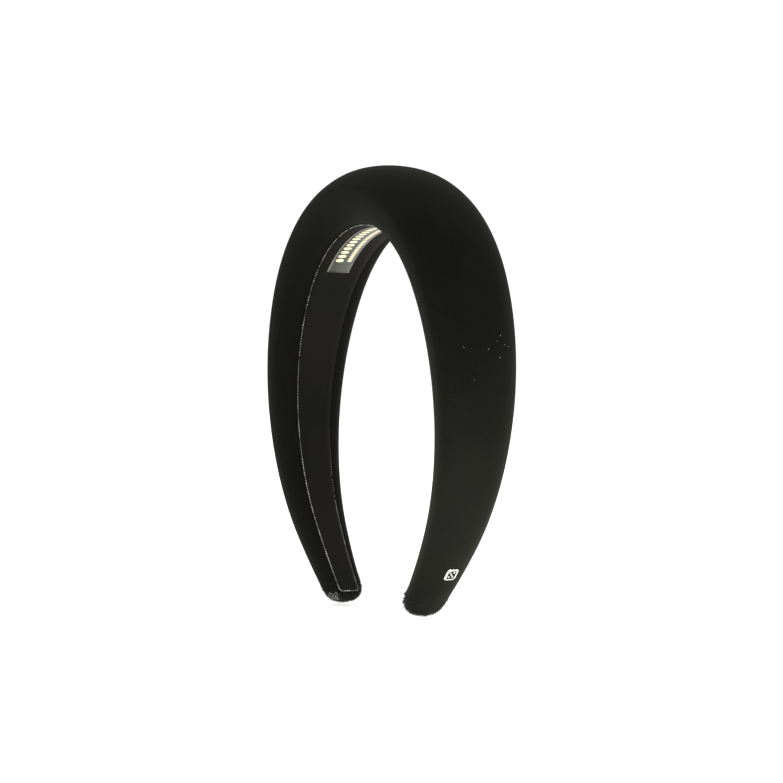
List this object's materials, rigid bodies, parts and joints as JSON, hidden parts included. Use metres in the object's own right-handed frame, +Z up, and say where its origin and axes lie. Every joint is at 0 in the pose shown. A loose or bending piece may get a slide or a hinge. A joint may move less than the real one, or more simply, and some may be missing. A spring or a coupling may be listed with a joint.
{
  "type": "headband",
  "caption": "Padded arch headband: springy inner band and crescent foam pad in a velvet cover, with a lining ribbon, a woven label and a small metal badge.",
  "frame": {"origin": "middle of the crown, on the face of the lining that rests on the head", "axes": "X ear to ear, +Y to the back of the head, +Z up"},
  "size_m": [0.1627, 0.04, 0.169],
  "materials": {
    "velvet": "black cotton velvet, short dense pile",
    "foam": "soft open-cell foam",
    "core": "springy matt plastic strip",
    "lining": "flat black velvet ribbon with a pale grey selvedge",
    "label": "dark satin weave with gold thread",
    "badge_metal": "polished white metal",
    "enamel": "glossy black enamel",
    "steel": "plain stamped steel"
  },
  "bodies": {
    "root": {"core_band": "core", "foam_pad": "foam", "velvet_cover": "velvet", "lining_ribbon": "lining", "woven_label": "label", "badge_frame": "badge_metal", "badge_enamel": "enamel", "badge_washer": "steel"}
  },
  "joints": []
}
